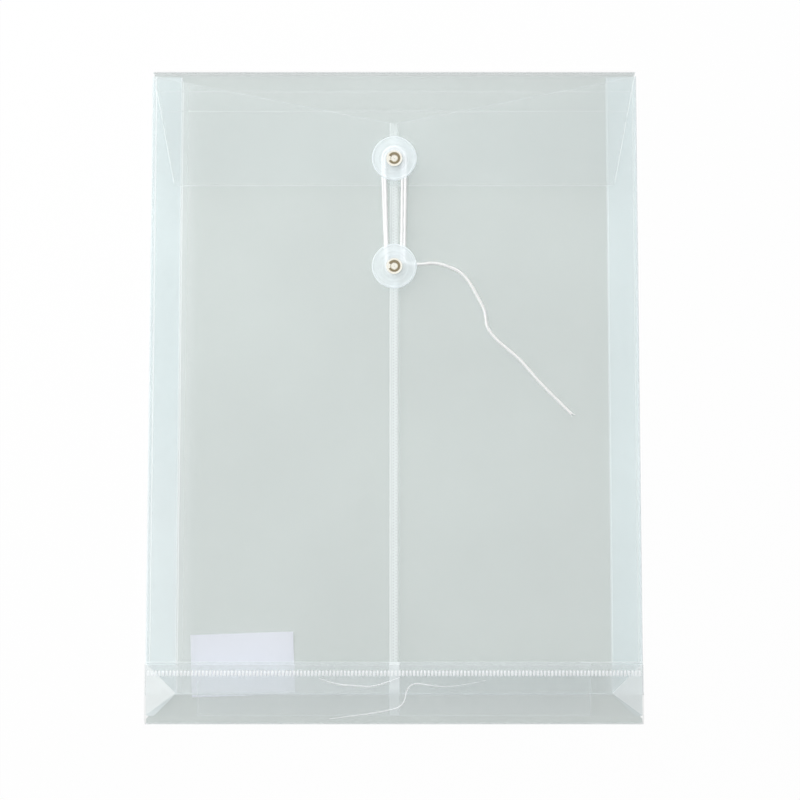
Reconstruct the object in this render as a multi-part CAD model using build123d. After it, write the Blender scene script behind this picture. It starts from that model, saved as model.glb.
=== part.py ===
from build123d import *

import math
import os

# A string tie envelope folded from one sheet of translucent film, lying on its back.
# X runs across it, Y towards the closing flap and Z out of its front, in millimetres.
# The origin is on the outside of the back, under the middle of the envelope.

# The sheet and the body that it is folded into
envelope_width = 240.0
envelope_height = 320.0
film = 0.25
pocket_depth = 5.5
crease_clearance = 0.05
cut_overrun = 5.0

# Side gussets
gusset_depth = 15.0
gusset_edge_radius = 0.7
gusset_crease_radius = 0.3

# Front wall: two panels lapped down the middle, with a notched mouth
lap_left = 2.2
lap_right = 2.4
lap_step = 0.8
lap_clearance = 0.02
mouth_side_drop = 2.0
mouth_notch = 24.0

# Block bottom, folded up flat over the foot of the front wall
bottom_depth = 2 * gusset_depth
block_clearance = 0.6
layer_clearance = 0.12
outer_flap_margin = 1.4
tongue_margin = 4.5
tongue_side_margin = 10.5
corner_margin = 0.6

# Closing flap with its spare score lines
flap_side_margin = 0.5
flap_taper = 11.0
flap_length = 57.5
flap_corner_radius = 3.0
score_spacing = 10.0
score_width = 0.6
score_depth = 0.08
score_count = 2

# Buttons: a washer that spins on a clinched eyelet
upper_button_drop = 44.2
button_spacing = 53.6
eyelet_bore_radius = 1.75
eyelet_wall = 0.25
eyelet_mouth_radius = 2.5
eyelet_flange_radius = 4.0
eyelet_flange = 0.5
eyelet_round = 0.2
clinch_radius = 3.2
clinch_height = 0.38
clinch_clearance = 0.35
washer_radius = 11.0
washer_web = 0.9
washer_boss_wall = 0.5
washer_rim_width = 0.9
washer_rim_rise = 0.25
washer_round = 0.2
fit_clearance = 0.05
run_clearance = 0.08

# String: two turns round both buttons, then a loose tail on the front wall
string_diameter = 1.15
string_clearance = 0.25
turn_gap = 0.45
knot_radius = 0.72
tail_exit_rise = 1.2
first_step_share = 0.5
bend_diameters_share = 3.0
tail_run_share = 0.45
tail_reach = 75.2
tail_route_shares = [
    (0.045, 0.000),
    (0.104, 0.011),
    (0.189, -0.005),
    (0.286, -0.048),
    (0.344, -0.116),
    (0.396, -0.214),
    (0.441, -0.298),
    (0.448, -0.350),
    (0.455, -0.415),
    (0.513, -0.492),
    (0.584, -0.551),
    (0.669, -0.622),
    (0.734, -0.701),
    (0.811, -0.789),
    (0.908, -0.875),
    (1.000, -0.960),
]
tail_lift_shares = [1.0, 0.45]
half_turns = 4
gap_samples = 700

# Blank sticker inside the back
label_width = 50.0
label_height = 30.0
label_thickness = 0.1
label_side_inset = 46.5
label_bottom_inset = 28.5
label_turn = 2.0

# Levels, from the table upwards
half_width = envelope_width / 2
top = envelope_height / 2
bottom = -envelope_height / 2
back_middle = film / 2
front_under = film + pocket_depth
front_middle = front_under + film / 2
front_top = front_under + film
lap_under = front_top + lap_clearance
lap_top = lap_under + film
flap_under = lap_top + clinch_height + clinch_clearance
flap_middle = flap_under + film / 2
flap_top = flap_under + film
string_level = flap_top + string_clearance + string_diameter / 2
washer_under = string_level + string_diameter / 2 + string_clearance
washer_top = washer_under + washer_web
flange_under = washer_top + run_clearance
flange_top = flange_under + eyelet_flange
foot_middle = lap_top + block_clearance + film / 2
tongue_middle = foot_middle + film + layer_clearance
outer_middle = tongue_middle + film + layer_clearance

# Places across and along the envelope
fold_x = half_width - gusset_edge_radius - film / 2
tongue_half = half_width - gusset_depth - tongue_side_margin
flap_half_top = half_width - flap_side_margin
flap_half_end = flap_half_top - flap_taper
bottom_fold_radius = (outer_middle - back_middle) / 2
bottom_fold_y = bottom + bottom_fold_radius + film / 2
crease_y = bottom + bottom_depth / 2
block_edge_y = bottom + bottom_depth
spine_y = top - film / 2
mouth_side_y = top - mouth_side_drop
upper_button_y = top - upper_button_drop
lower_button_y = upper_button_y - button_spacing
barrel_radius = eyelet_bore_radius + eyelet_wall
washer_bore_radius = barrel_radius + run_clearance
boss_radius = washer_bore_radius + washer_boss_wall


def slab(points, low, high):
    """A flat piece with this outline, from one level to another."""
    face = make_face(Polyline(*points, close=True))
    return Pos(0, 0, low) * extrude(face, high - low, dir=(0, 0, 1))


def film_along_x(edges, left, right):
    """Film whose middle line is drawn in Y and Z, running across the envelope."""
    face = Plane.YZ * trace(edges, film)
    return Pos(left, 0, 0) * extrude(face, right - left, dir=(1, 0, 0))


def film_along_y(edges, near, far):
    """Film whose middle line is drawn in X and Z, running along the envelope."""
    face = Plane.XZ * trace(edges, film)
    return Pos(0, near, 0) * extrude(face, far - near, dir=(0, 1, 0))


def crease_nose(left, right, y, z):
    """The round edge on which a panel turns at a crease."""
    rod = Rotation(0, 90, 0) * Cylinder(film / 2, right - left)
    return Pos((left + right) / 2, y, z) * rod


def button_hole(y):
    """The punched hole for an eyelet, right through whatever it is taken from."""
    return Pos(0, y, 0) * Cylinder(barrel_radius + fit_clearance, envelope_height)


def round_corner(face, corner, radius):
    """The face with the corner nearest a point rounded."""
    return fillet(face.vertices().sort_by_distance(corner)[0], radius)


def back_panel():
    low_y = bottom_fold_y
    high_y = spine_y - film / 2 - crease_clearance
    outline = [(-fold_x, low_y), (fold_x, low_y), (fold_x, high_y), (-fold_x, high_y)]
    return slab(outline, 0, film)


def blank_label():
    sticker = extrude(Rectangle(label_width, label_height), label_thickness)
    x = label_side_inset - half_width
    y = label_bottom_inset + bottom
    return Pos(x, y, film) * Rotation(0, 0, label_turn) * sticker


def right_gusset():
    """Film folded inwards between the back and the front, slanted off at the block bottom."""
    half_rise = (front_middle - back_middle) / 2
    leg = gusset_depth - gusset_edge_radius - gusset_crease_radius - film
    bends = gusset_edge_radius + gusset_crease_radius
    slope = math.asin((half_rise - gusset_edge_radius) / math.hypot(leg, bends))
    slope = math.degrees(slope - math.atan2(bends, leg))
    back_fold = JernArc((fold_x, back_middle), (1, 0), gusset_edge_radius, 180 - slope)
    back_leg = PolarLine(back_fold @ 1, leg, direction=back_fold % 1)
    crease = JernArc(back_leg @ 1, back_leg % 1, gusset_crease_radius, 2 * slope - 180)
    front_leg = PolarLine(crease @ 1, leg, direction=crease % 1)
    front_fold = JernArc(front_leg @ 1, front_leg % 1, gusset_edge_radius, 180 - slope)
    edges = Curve([back_fold, back_leg, crease, front_leg, front_fold])
    gusset = film_along_y(edges, bottom_fold_y, mouth_side_y)
    inner_x = half_width - gusset_depth - cut_overrun
    outer_x = half_width + cut_overrun
    slant = [
        (outer_x, bottom - cut_overrun),
        (inner_x, crease_y + cut_overrun),
        (inner_x, bottom - cut_overrun),
    ]
    toe = [
        (inner_x, bottom - cut_overrun),
        (outer_x, bottom - cut_overrun),
        (outer_x, crease_y),
        (inner_x, crease_y),
    ]
    middle = (front_middle + back_middle) / 2
    gusset -= slab(slant, -cut_overrun, front_top + cut_overrun)
    gusset -= slab(toe, middle, front_top + cut_overrun)
    return gusset


def mouth_outline():
    """The front wall below its notched mouth, right across the envelope."""
    edge = [
        (fold_x + cut_overrun, crease_y - cut_overrun),
        (fold_x + cut_overrun, mouth_side_y + mouth_notch * cut_overrun / fold_x),
        (0, mouth_side_y - mouth_notch),
        (-fold_x - cut_overrun, mouth_side_y + mouth_notch * cut_overrun / fold_x),
        (-fold_x - cut_overrun, crease_y - cut_overrun),
    ]
    return slab(edge, -cut_overrun, flap_top + cut_overrun)


def front_panel_left():
    side_x = -fold_x + crease_clearance
    outline = [(side_x, crease_y), (lap_right, crease_y), (lap_right, top), (side_x, top)]
    panel = slab(outline, front_under, front_top)
    panel += crease_nose(side_x, lap_right, crease_y, front_middle)
    return panel & (mouth_outline() - button_hole(lower_button_y))


def front_panel_right():
    """The other half of the front, stepped up to lap over the left half."""
    side_x = fold_x - crease_clearance
    step_x = lap_right + lap_step
    upper = [(side_x, front_top), (step_x, front_top), (lap_right, lap_top), (-lap_left, lap_top)]
    lower_step = lap_right + film
    lower = [(-lap_left, lap_under), (lower_step, lap_under), (step_x + film, front_under)]
    profile = make_face(Polyline(*upper, *lower, (side_x, front_under), close=True))
    panel = extrude(Plane.XZ * profile, top - crease_y, dir=(0, 1, 0))
    panel = Pos(0, crease_y, 0) * panel
    panel += crease_nose(step_x + film, side_x, crease_y, front_middle)
    return panel & (mouth_outline() - button_hole(lower_button_y))


def bottom_outer_flap():
    """The back film carried round the bottom edge and up over the block."""
    bend = JernArc((bottom_fold_y, back_middle), (-1, 0), bottom_fold_radius, -180)
    reach = block_edge_y - outer_flap_margin - bottom_fold_y
    leaf = PolarLine(bend @ 1, reach, direction=bend % 1)
    return film_along_x(Curve([bend, leaf]), -half_width, half_width)


def bottom_inner_flap():
    """The front film folded back at its crease, then over itself into a narrower tongue."""
    start_y = crease_y - film / 2 - crease_clearance
    crease_radius = (foot_middle - front_middle) / 2
    edge_radius = (tongue_middle - foot_middle) / 2
    crease = JernArc((start_y, front_middle), (-1, 0), crease_radius, -180)
    foot_length = block_edge_y - film / 2 - edge_radius - start_y
    foot = PolarLine(crease @ 1, foot_length, direction=crease % 1)
    edge = JernArc(foot @ 1, foot % 1, edge_radius, 180)
    tongue_length = block_edge_y - film / 2 - edge_radius - (bottom + tongue_margin)
    tongue = PolarLine(edge @ 1, tongue_length, direction=edge % 1)
    leaf = film_along_x(Curve([crease, foot, edge, tongue]), -half_width, half_width)
    side_width = half_width - tongue_half + cut_overrun
    side_x = tongue_half + side_width / 2
    trim = Box(side_width, envelope_height, film + layer_clearance)
    trim_z = tongue_middle + layer_clearance / 2
    for x in (-side_x, side_x):
        leaf -= Pos(x, bottom, trim_z) * trim
    return leaf


def bottom_corner_right():
    """The flat triangle that each gusset makes in the corner of the block."""
    side_x = half_width - corner_margin
    outline = [
        (side_x, bottom_fold_y + corner_margin),
        (side_x, block_edge_y - corner_margin),
        (half_width - gusset_depth, crease_y),
    ]
    return slab(outline, tongue_middle - film / 2, tongue_middle + film / 2)


def flap_spine():
    """The narrow strip between the back and the flap, as high as the envelope is thick."""
    high_z = flap_middle - film / 2 - crease_clearance
    half = flap_half_top
    outline = [(-half, spine_y - film / 2), (half, spine_y - film / 2), (half, top), (-half, top)]
    return slab(outline, back_middle, high_z) + crease_nose(-half, half, spine_y, back_middle)


def flap():
    """The tapered flap, with round lower corners and score lines for a fuller envelope."""
    end_y = top - flap_length
    outline = Polyline(
        (-flap_half_top, spine_y),
        (flap_half_top, spine_y),
        (flap_half_end, end_y),
        (-flap_half_end, end_y),
        close=True,
    )
    face = make_face(outline)
    for corner in ((flap_half_end, end_y), (-flap_half_end, end_y)):
        face = round_corner(face, corner, flap_corner_radius)
    leaf = Pos(0, 0, flap_under) * extrude(face, film, dir=(0, 0, 1))
    leaf += crease_nose(-flap_half_top, flap_half_top, spine_y, flap_middle)
    score = Box(envelope_width, score_width, 2 * score_depth)
    for i in range(score_count):
        leaf -= Pos(0, top - (i + 1) * score_spacing, flap_top) * score
    return leaf - button_hole(upper_button_y)


def eyelet(y, film_low):
    """A drawn eyelet: funnel mouth and flange above the washer, clinched under the film."""
    clinch_low = film_low - clinch_height
    outline = [
        (eyelet_bore_radius, clinch_low),
        (clinch_radius, clinch_low),
        (clinch_radius, film_low),
        (barrel_radius, film_low),
        (barrel_radius, flange_under),
        (eyelet_flange_radius, flange_under),
        (eyelet_flange_radius, flange_top),
        (eyelet_mouth_radius, flange_top),
        (eyelet_bore_radius, flange_under),
    ]
    face = make_face(Polyline(*outline, close=True))
    face = round_corner(face, (eyelet_flange_radius, flange_top), eyelet_round)
    face = round_corner(face, (eyelet_mouth_radius, flange_top), eyelet_round)
    face = round_corner(face, (clinch_radius, clinch_low), eyelet_round)
    return Pos(0, y, 0) * revolve(Plane.XZ * face, Axis.Z)


def washer(y, film_high):
    """A moulded washer: a boss that keeps room for the string, a flat web and a raised rim."""
    boss_low = film_high + run_clearance
    rim_x = washer_radius - washer_rim_width
    rim_z = washer_top + washer_rim_rise
    outline = [
        (washer_bore_radius, boss_low),
        (boss_radius, boss_low),
        (boss_radius, washer_under),
        (washer_radius, washer_under),
        (washer_radius, rim_z),
        (rim_x, rim_z),
        (rim_x - washer_rim_rise, washer_top),
        (washer_bore_radius, washer_top),
    ]
    face = make_face(Polyline(*outline, close=True))
    face = round_corner(face, (washer_radius, rim_z), washer_round)
    face = round_corner(face, (washer_radius, washer_under), washer_round)
    return Pos(0, y, 0) * revolve(Plane.XZ * face, Axis.Z)


def tube_along(path):
    """A round string that follows a path, with its volume set beside section times length."""
    section = Plane(origin=path @ 0, z_dir=path % 0) * Circle(string_diameter / 2)
    tube = sweep(section, path)
    print("string volume", round(tube.volume, 2), "section times length",
          round(math.pi * string_diameter ** 2 / 4 * path.length, 2),
          "length", round(path.length, 1))
    return tube


def winding_path():
    """Clockwise turns round both buttons, each half turn half a step wider than the last."""
    step = (string_diameter + turn_gap) / 2
    start = boss_radius + string_clearance + string_diameter / 2
    rise = upper_button_y - lower_button_y
    exit_radius = bend_diameters_share * string_diameter
    edges = [Line((start, lower_button_y + string_diameter), (start, lower_button_y))]
    for i in range(half_turns):
        radius = start + (i + first_step_share) * step
        turn = JernArc(edges[-1] @ 1, edges[-1] % 1, radius, -180)
        length = rise
        if i == half_turns - 1:
            length = rise - tail_exit_rise - exit_radius
        edges += [turn, PolarLine(turn @ 1, length, direction=turn % 1)]
    bend = JernArc(edges[-1] @ 1, edges[-1] % 1, exit_radius, 90)
    edges += [bend, PolarLine(bend @ 1, string_diameter, direction=bend % 1)]
    return Pos(0, 0, string_level) * Wire([edge.edge() for edge in edges])


def print_least_gap(path):
    """The least room between turns, measured on points that are far apart along the string."""
    points = [tuple(path @ (i / gap_samples)) for i in range(gap_samples + 1)]
    apart = math.ceil(bend_diameters_share * string_diameter / path.length * gap_samples)
    least = min(
        math.dist(points[i], points[j])
        for i in range(len(points))
        for j in range(i + apart, len(points))
    )
    print("least gap between turns", round(least - string_diameter, 3))


def string_knot(path):
    """The knot that holds the string's end against the lower boss."""
    end = path @ 0
    sink = math.sqrt(knot_radius ** 2 - string_diameter ** 2 / 4)
    ball = Pos(end.X, end.Y + sink, end.Z) * Sphere(knot_radius)
    size = 2 * cut_overrun
    return ball - Pos(end.X, end.Y - size / 2, end.Z) * Box(size, size, size)


def tail_path(start):
    """The loose end: down off the winding, then along the front wall in lazy bends."""
    rest_level = front_top + string_clearance + string_diameter / 2
    drop = string_level - rest_level
    flat_count = len(tail_route_shares) - len(tail_lift_shares)
    lifts = tail_lift_shares + flat_count * [0]
    points = [start]
    for (across, along), lift in zip(tail_route_shares, lifts):
        x = start.X + across * tail_reach
        y = start.Y + along * tail_reach
        points.append(Vector(x, y, rest_level + lift * drop))
    radii = []
    for before, here, after in zip(points, points[1:], points[2:]):
        turn = math.radians((here - before).get_angle(after - here))
        run = min((here - before).length, (after - here).length)
        radii.append(tail_run_share * run / math.tan(turn / 2))
    print("tail radii", [round(r, 1) for r in radii])
    return FilletPolyline(*points, radius=radii).wire()


winding = winding_path()
print_least_gap(winding)
tail = tail_path(winding @ 1)

nodes = {
    "back_panel": back_panel(),
    "blank_label": blank_label(),
    "right_gusset": right_gusset(),
    "left_gusset": mirror(right_gusset(), about=Plane.YZ),
    "front_panel_left": front_panel_left(),
    "front_panel_right": front_panel_right(),
    "bottom_outer_flap": bottom_outer_flap(),
    "bottom_inner_flap": bottom_inner_flap(),
    "bottom_corner_right": bottom_corner_right(),
    "bottom_corner_left": mirror(bottom_corner_right(), about=Plane.YZ),
    "flap_spine": flap_spine(),
    "flap": flap(),
    "upper_eyelet": eyelet(upper_button_y, flap_under),
    "upper_washer": washer(upper_button_y, flap_top),
    "lower_eyelet": eyelet(lower_button_y, front_under),
    "lower_washer": washer(lower_button_y, lap_top),
    "string_knot": string_knot(winding),
    "string_loops": tube_along(winding),
    "string_tail": tube_along(tail),
}

os.makedirs("parts", exist_ok=True)
for name, solid in nodes.items():
    export_step(solid, f"parts/{name}.step")
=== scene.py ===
import math

import bmesh
import bpy
from mathutils import Euler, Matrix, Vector


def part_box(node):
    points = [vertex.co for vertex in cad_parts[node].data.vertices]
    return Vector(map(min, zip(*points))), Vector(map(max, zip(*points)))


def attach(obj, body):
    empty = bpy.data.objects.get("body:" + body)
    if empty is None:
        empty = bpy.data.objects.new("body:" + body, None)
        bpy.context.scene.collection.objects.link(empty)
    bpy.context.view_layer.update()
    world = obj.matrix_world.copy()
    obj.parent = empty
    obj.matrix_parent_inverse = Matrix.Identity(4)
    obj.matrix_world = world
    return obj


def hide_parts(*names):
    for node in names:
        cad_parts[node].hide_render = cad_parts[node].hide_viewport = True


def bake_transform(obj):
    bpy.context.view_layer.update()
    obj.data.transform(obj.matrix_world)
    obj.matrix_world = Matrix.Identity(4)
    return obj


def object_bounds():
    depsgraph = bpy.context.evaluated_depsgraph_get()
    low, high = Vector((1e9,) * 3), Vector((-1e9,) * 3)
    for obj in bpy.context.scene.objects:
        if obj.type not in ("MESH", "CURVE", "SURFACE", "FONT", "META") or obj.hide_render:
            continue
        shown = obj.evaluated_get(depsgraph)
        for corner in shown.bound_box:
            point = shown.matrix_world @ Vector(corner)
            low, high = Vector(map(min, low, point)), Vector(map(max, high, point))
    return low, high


# A string tie envelope folded from one sheet of translucent film. It lies on its back, with
# X across it, Y towards the closing flap and Z out of the front, all in metres.
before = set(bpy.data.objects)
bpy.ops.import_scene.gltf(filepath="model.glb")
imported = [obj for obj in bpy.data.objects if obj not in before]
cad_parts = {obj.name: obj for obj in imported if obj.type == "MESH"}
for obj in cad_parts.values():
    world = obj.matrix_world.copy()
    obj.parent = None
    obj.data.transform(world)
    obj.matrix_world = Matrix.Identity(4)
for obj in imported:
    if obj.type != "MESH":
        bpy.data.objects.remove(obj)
cad_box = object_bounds()
mm = 0.001


# Studio. A white table under one large soft lamp to the upper left, with a dim sky for the
# sides. The camera looks down almost square on, from a little towards the foot.
scene = bpy.context.scene
scene.view_settings.view_transform = "Standard"
scene.cycles.transparent_max_bounces = 64
picture_side = 800
focal_pixels = 1868
sensor_width = 36
camera_distance = 914 * mm
camera_rise = math.radians(84.8)
aim = Vector((2.82 * mm, -3.1 * mm, 4.0 * mm))
sky_strength = 0.45
table_glow = 0.95
table_size = 8
table_drop = 0.2 * mm

lens = bpy.data.cameras.new("camera")
lens.sensor_width = sensor_width
lens.lens = sensor_width * focal_pixels / picture_side
camera = bpy.data.objects.new("camera", lens)
outwards = Vector((0, -math.cos(camera_rise), math.sin(camera_rise)))
camera.location = aim + camera_distance * outwards
camera.rotation_euler = (-outwards).to_track_quat("-Z", "Y").to_euler()
scene.collection.objects.link(camera)
scene.camera = camera

softbox = bpy.data.lights.new("softbox", "AREA")
softbox.size = 2.0
softbox.energy = 25.2
softbox.cycles.use_multiple_importance_sampling = False
lamp = bpy.data.objects.new("softbox", softbox)
lamp.location = (-0.72, 0.80, 0.95)
lamp.visible_glossy = False
lamp.rotation_euler = (-lamp.location).to_track_quat("-Z", "Y").to_euler()
scene.collection.objects.link(lamp)


def seen_directly(tree):
    """A socket that is 1 for rays that show the background itself, and 0 for light."""
    rays = tree.nodes.new("ShaderNodeLightPath")
    total = rays.outputs["Is Camera Ray"]
    for kind in ("Is Glossy Ray", "Is Transmission Ray"):
        add = tree.nodes.new("ShaderNodeMath")
        tree.links.new(total, add.inputs[0])
        tree.links.new(rays.outputs[kind], add.inputs[1])
        total = add.outputs[0]
    return total


def mix_surface(tree, share, first, second, output):
    """Show the first of two shaders, or the second by this share."""
    mix = tree.nodes.new("ShaderNodeMixShader")
    for socket, link in zip((share, first.outputs[0], second.outputs[0]), mix.inputs):
        tree.links.new(socket, link)
    tree.links.new(mix.outputs[0], tree.nodes[output].inputs["Surface"])


scene.world = bpy.data.worlds.new("sky")
scene.world.use_nodes = True
sky = scene.world.node_tree
sky_light = sky.nodes["Background"]
sky_light.inputs["Color"].default_value = (1, 1, 1, 1)
sky_light.inputs["Strength"].default_value = sky_strength
sky_white = sky.nodes.new("ShaderNodeBackground")
sky_white.inputs["Color"].default_value = (1, 1, 1, 1)
mix_surface(sky, seen_directly(sky), sky_light, sky_white, "World Output")

bpy.ops.object.select_all(action="DESELECT")
bpy.ops.mesh.primitive_plane_add(size=table_size, location=(0, 0, -table_drop))
table = bpy.context.object
table.name = "table"
table_white = bpy.data.materials.new("table_white")
table_white.use_nodes = True
tree = table_white.node_tree
tree.nodes.remove(tree.nodes["Principled BSDF"])
matt = tree.nodes.new("ShaderNodeBsdfDiffuse")
matt.inputs["Color"].default_value = (0.9, 0.9, 0.9, 1)
glow = tree.nodes.new("ShaderNodeEmission")
glow_share = tree.nodes.new("ShaderNodeMath")
glow_share.operation = "MULTIPLY"
glow_share.inputs[1].default_value = table_glow
tree.links.new(seen_directly(tree), glow_share.inputs[0])
mix_surface(tree, glow_share.outputs[0], matt, glow, "Material Output")
table.data.materials.append(table_white)


# Back film, the sheet that the envelope lies on. It is carried round the bottom edge in a
# soft fold and up over the block bottom, where its edge is welded down.
back_low, back_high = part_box("back_panel")
front_low, front_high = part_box("front_panel_left")
outer_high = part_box("bottom_outer_flap")[1]
film = back_high.z - back_low.z
tiny = 0.02 * mm
edge_strip = 0.6 * mm
spine_hem = 1.3 * mm
film_columns = 48
back_rows = 40
bottom_fold_radius = (outer_high.z - film) / 2
block_crease = front_low.y + film / 2
weld_y = -135.4 * mm
weld_band = 3.2 * mm
leaf_ripple = 0.3 * mm
leaf_ripple_size = 40 * mm
leaf_slack_reach = 5 * mm
leaf_held = 7 * mm
leaf_edge_white = 0.85
leaf_fold_white = 0.5
weld_band_white = 0.42
leaf_paler_white = 0.4
leaf_paler_end = 20 * mm
leaf_paler_fade = 40 * mm
right_paler_start = 102 * mm
line_white = (0.96, 0.99, 1.0)


def settle():
    """Put the place, turn and size of the new piece into its mesh."""
    bpy.ops.object.transform_apply(location=True, rotation=True, scale=True)


def sheet_of_film(name, left, right, near, far, level, columns, rows):
    """A flat grid of film, in edit mode."""
    bpy.ops.object.select_all(action="DESELECT")
    bpy.ops.mesh.primitive_grid_add(x_subdivisions=columns, y_subdivisions=rows, size=1)
    piece = bpy.context.object
    piece.name = piece.data.name = name
    piece.scale = (right - left, far - near, 1)
    piece.location = ((left + right) / 2, (near + far) / 2, level)
    settle()
    bpy.ops.object.mode_set(mode="EDIT")
    return piece


def pick(kind, test):
    """Select the vertices, edges or faces whose middle passes a test."""
    bpy.ops.mesh.select_mode(type=kind)
    bpy.ops.mesh.select_all(action="DESELECT")
    mesh = bpy.context.object.data
    shape = bmesh.from_edit_mesh(mesh)
    if kind == "VERT":
        for vertex in shape.verts:
            vertex.select_set(test(vertex.co))
    elif kind == "EDGE":
        for edge in shape.edges:
            edge.select_set(test((edge.verts[0].co + edge.verts[1].co) / 2))
    else:
        for face in shape.faces:
            face.select_set(test(face.calc_center_median()))
    bmesh.update_edit_mesh(mesh)


def pick_edge(axis, at):
    """Select the edge of a film that lies at this X (axis 0) or Y (axis 1)."""
    pick("EDGE", lambda middle: abs(middle[axis] - at) < tiny)


def pull(x, y, z, steps=1):
    """Carry the selected edge on in a straight run."""
    for _ in range(steps):
        move = {"value": (x / steps, y / steps, z / steps)}
        bpy.ops.mesh.extrude_region_move(TRANSFORM_OT_translate=move)


def fold(degrees, center, axis, steps):
    """Carry the selected edge on round a fold."""
    bpy.ops.mesh.spin(steps=steps, angle=-math.radians(degrees), center=center, axis=axis)


def score(point, normal, drop=False):
    """Divide the selected film along a plane, and drop what lies beyond it if asked."""
    bpy.ops.mesh.bisect(plane_co=point, plane_no=normal, clear_outer=drop)


def score_all(point, normal, drop=False):
    """Divide the whole film along a plane."""
    bpy.ops.mesh.select_all(action="SELECT")
    score(point, normal, drop)


def least_share(*shares):
    """The least of some shares, kept between 0 and 1."""
    return max(0, min(1, *shares))


def ripple(piece, depth, middle, size, weight):
    """Let a film that isn't held flat ripple a little."""
    cloud = bpy.data.textures.new(piece.name + "_ripple", "CLOUDS")
    cloud.noise_scale = size
    group = piece.vertex_groups.new(name="loose")
    for vertex in piece.data.vertices:
        group.add([vertex.index], weight(vertex.co), "REPLACE")
    modifier = piece.modifiers.new("ripple", "DISPLACE")
    modifier.texture = cloud
    modifier.texture_coords = "LOCAL"
    modifier.direction = "Z"
    modifier.strength = depth
    modifier.mid_level = middle
    modifier.vertex_group = group.name
    bpy.ops.object.modifier_apply(modifier=modifier.name)


def mark_lines(piece, line_at):
    """Store on each point of a piece how much it belongs to a crease, an edge or a groove, or how
    much painted light or shade it carries.
    """
    lines = piece.data.attributes.new("line", "FLOAT", "POINT")
    for vertex in piece.data.vertices:
        lines.data[vertex.index].value = line_at(vertex.co)


def give_thickness(piece, bright):
    """Make a sheet real film: bright where it is creased, cut or given painted light, and as thick
    as the film is.
    """
    mark_lines(piece, bright)
    wall = piece.modifiers.new("wall", "SOLIDIFY")
    wall.thickness = film
    wall.offset = 0
    wall.use_even_offset = True
    bpy.ops.object.modifier_apply(modifier=wall.name)
    bpy.ops.object.shade_smooth_by_angle(angle=math.radians(40))


def math_node(tree, operation, first, second):
    """An operation on two sockets or numbers."""
    node = tree.nodes.new("ShaderNodeMath")
    node.operation = operation
    for value, socket in zip((first, second), node.inputs):
        if isinstance(value, (int, float)):
            socket.default_value = value
        else:
            tree.links.new(value, socket)
    return node.outputs[0]


def spread(tree, value, low, high, from_low=0.0, from_high=1.0):
    """A socket's range spread over another range."""
    node = tree.nodes.new("ShaderNodeMapRange")
    tree.links.new(value, node.inputs["Value"])
    node.inputs["From Min"].default_value = from_low
    node.inputs["From Max"].default_value = from_high
    node.inputs["To Min"].default_value = low
    node.inputs["To Max"].default_value = high
    return node.outputs["Result"]


def two_tones(tree, value, first, second):
    """A colour between two others."""
    node = tree.nodes.new("ShaderNodeMix")
    node.data_type = "RGBA"
    tree.links.new(value, node.inputs["Factor"])
    for tone, socket in ((first, node.inputs["A"]), (second, node.inputs["B"])):
        if isinstance(tone, tuple):
            socket.default_value = (*tone, 1)
        else:
            tree.links.new(tone, socket)
    return node.outputs["Result"]


def mottle(tree, scale, detail=2.0):
    """Soft noise on the piece's own coordinates, with about this many spots to a metre."""
    place = tree.nodes.new("ShaderNodeTexCoord")
    noise = tree.nodes.new("ShaderNodeTexNoise")
    noise.inputs["Scale"].default_value = scale
    noise.inputs["Detail"].default_value = detail
    tree.links.new(place.outputs["Object"], noise.inputs["Vector"])
    return noise.outputs["Fac"]


def new_finish(name):
    """A new finish, with its node tree and its shader."""
    finish = bpy.data.materials.new(name)
    finish.use_nodes = True
    return finish, finish.node_tree, finish.node_tree.nodes["Principled BSDF"]


def marked_line(tree):
    """The socket of the line value that is stored on a piece."""
    line = tree.nodes.new("ShaderNodeAttribute")
    line.attribute_name = "line"
    return line.outputs["Fac"]


def stopped_light(tree, shadow_share):
    """A socket that is 1, but less for shadow rays, so that light gets through a piece."""
    rays = tree.nodes.new("ShaderNodeLightPath")
    return spread(tree, rays.outputs["Is Shadow Ray"], 1, shadow_share)


def roughen(tree, shader, height, strength, depth):
    """Fine grain in the surface of a finish."""
    grain = tree.nodes.new("ShaderNodeBump")
    grain.inputs["Strength"].default_value = strength
    grain.inputs["Distance"].default_value = depth
    tree.links.new(height, grain.inputs["Height"])
    tree.links.new(grain.outputs["Normal"], shader.inputs["Normal"])


def film_finish(name, tint, layer_opacity, line_opacity=0.6):
    """Frosted film: a pale veil over what is behind it, whiter along creases and cut edges and
    where painted light is marked.
    """
    finish, tree, shader = new_finish(name)
    dark = tuple(0.97 * x for x in tint)
    light = tuple(1.03 * x for x in tint)
    tone = two_tones(tree, spread(tree, mottle(tree, 11), 0, 1, 0.3, 0.7), dark, light)
    line = marked_line(tree)
    tree.links.new(two_tones(tree, line, tone, line_white), shader.inputs["Base Color"])
    face_opacity = 1 - math.sqrt(1 - layer_opacity)
    veil = spread(tree, line, face_opacity, line_opacity)
    veil = math_node(tree, "MULTIPLY", veil, stopped_light(tree, 0.15))
    tree.links.new(veil, shader.inputs["Alpha"])
    tree.links.new(spread(tree, mottle(tree, 40), 0.26, 0.40), shader.inputs["Roughness"])
    roughen(tree, shader, mottle(tree, 1400), 0.05, 0.1 * mm)
    return finish


def put_on(piece, finish, slot, body, *nodes):
    """Give a piece its finish, and the body and the solids that it stands for."""
    piece.data.materials.clear()
    piece.data.materials.append(finish)
    if body:
        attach(piece, body)
    if nodes:
        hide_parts(*nodes)


def add_finish(piece, finish, test):
    """Give the faces that pass a test a second finish."""
    piece.data.materials.append(finish)
    bpy.ops.object.mode_set(mode="EDIT")
    pick("FACE", test)
    piece.active_material_index = 1
    bpy.ops.object.material_slot_assign()
    bpy.ops.object.mode_set(mode="OBJECT")


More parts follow.
